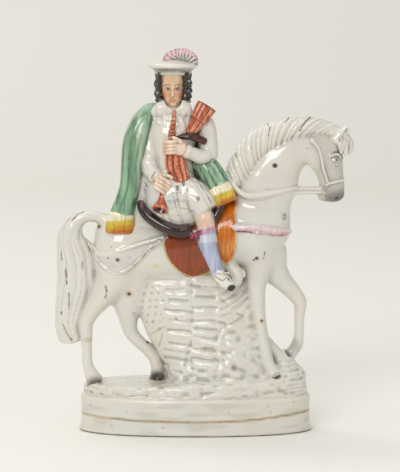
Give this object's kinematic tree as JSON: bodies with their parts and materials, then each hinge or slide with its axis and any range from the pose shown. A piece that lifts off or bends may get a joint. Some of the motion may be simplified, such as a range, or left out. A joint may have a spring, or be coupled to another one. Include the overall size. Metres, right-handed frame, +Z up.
{
  "type": "staffordshire figure",
  "caption": "Glazed earthenware flatback ornament: a kilted piper in a cloak riding a walking horse, over a rock on an oval plinth. Stands on its flat underside.",
  "frame": {"origin": "middle of the oval underside", "axes": "+Z up through the rider's head, +Y from the modelled front to the plain back, +X the way the horse faces"},
  "size_m": [0.2784, 0.088, 0.36],
  "materials": {
    "glazed_earthenware": "glossy bluish-white lead glaze over white earthenware, painted with coloured enamels and a little worn gilding"
  },
  "bodies": {
    "root": {"figure": "glazed_earthenware"}
  },
  "joints": []
}
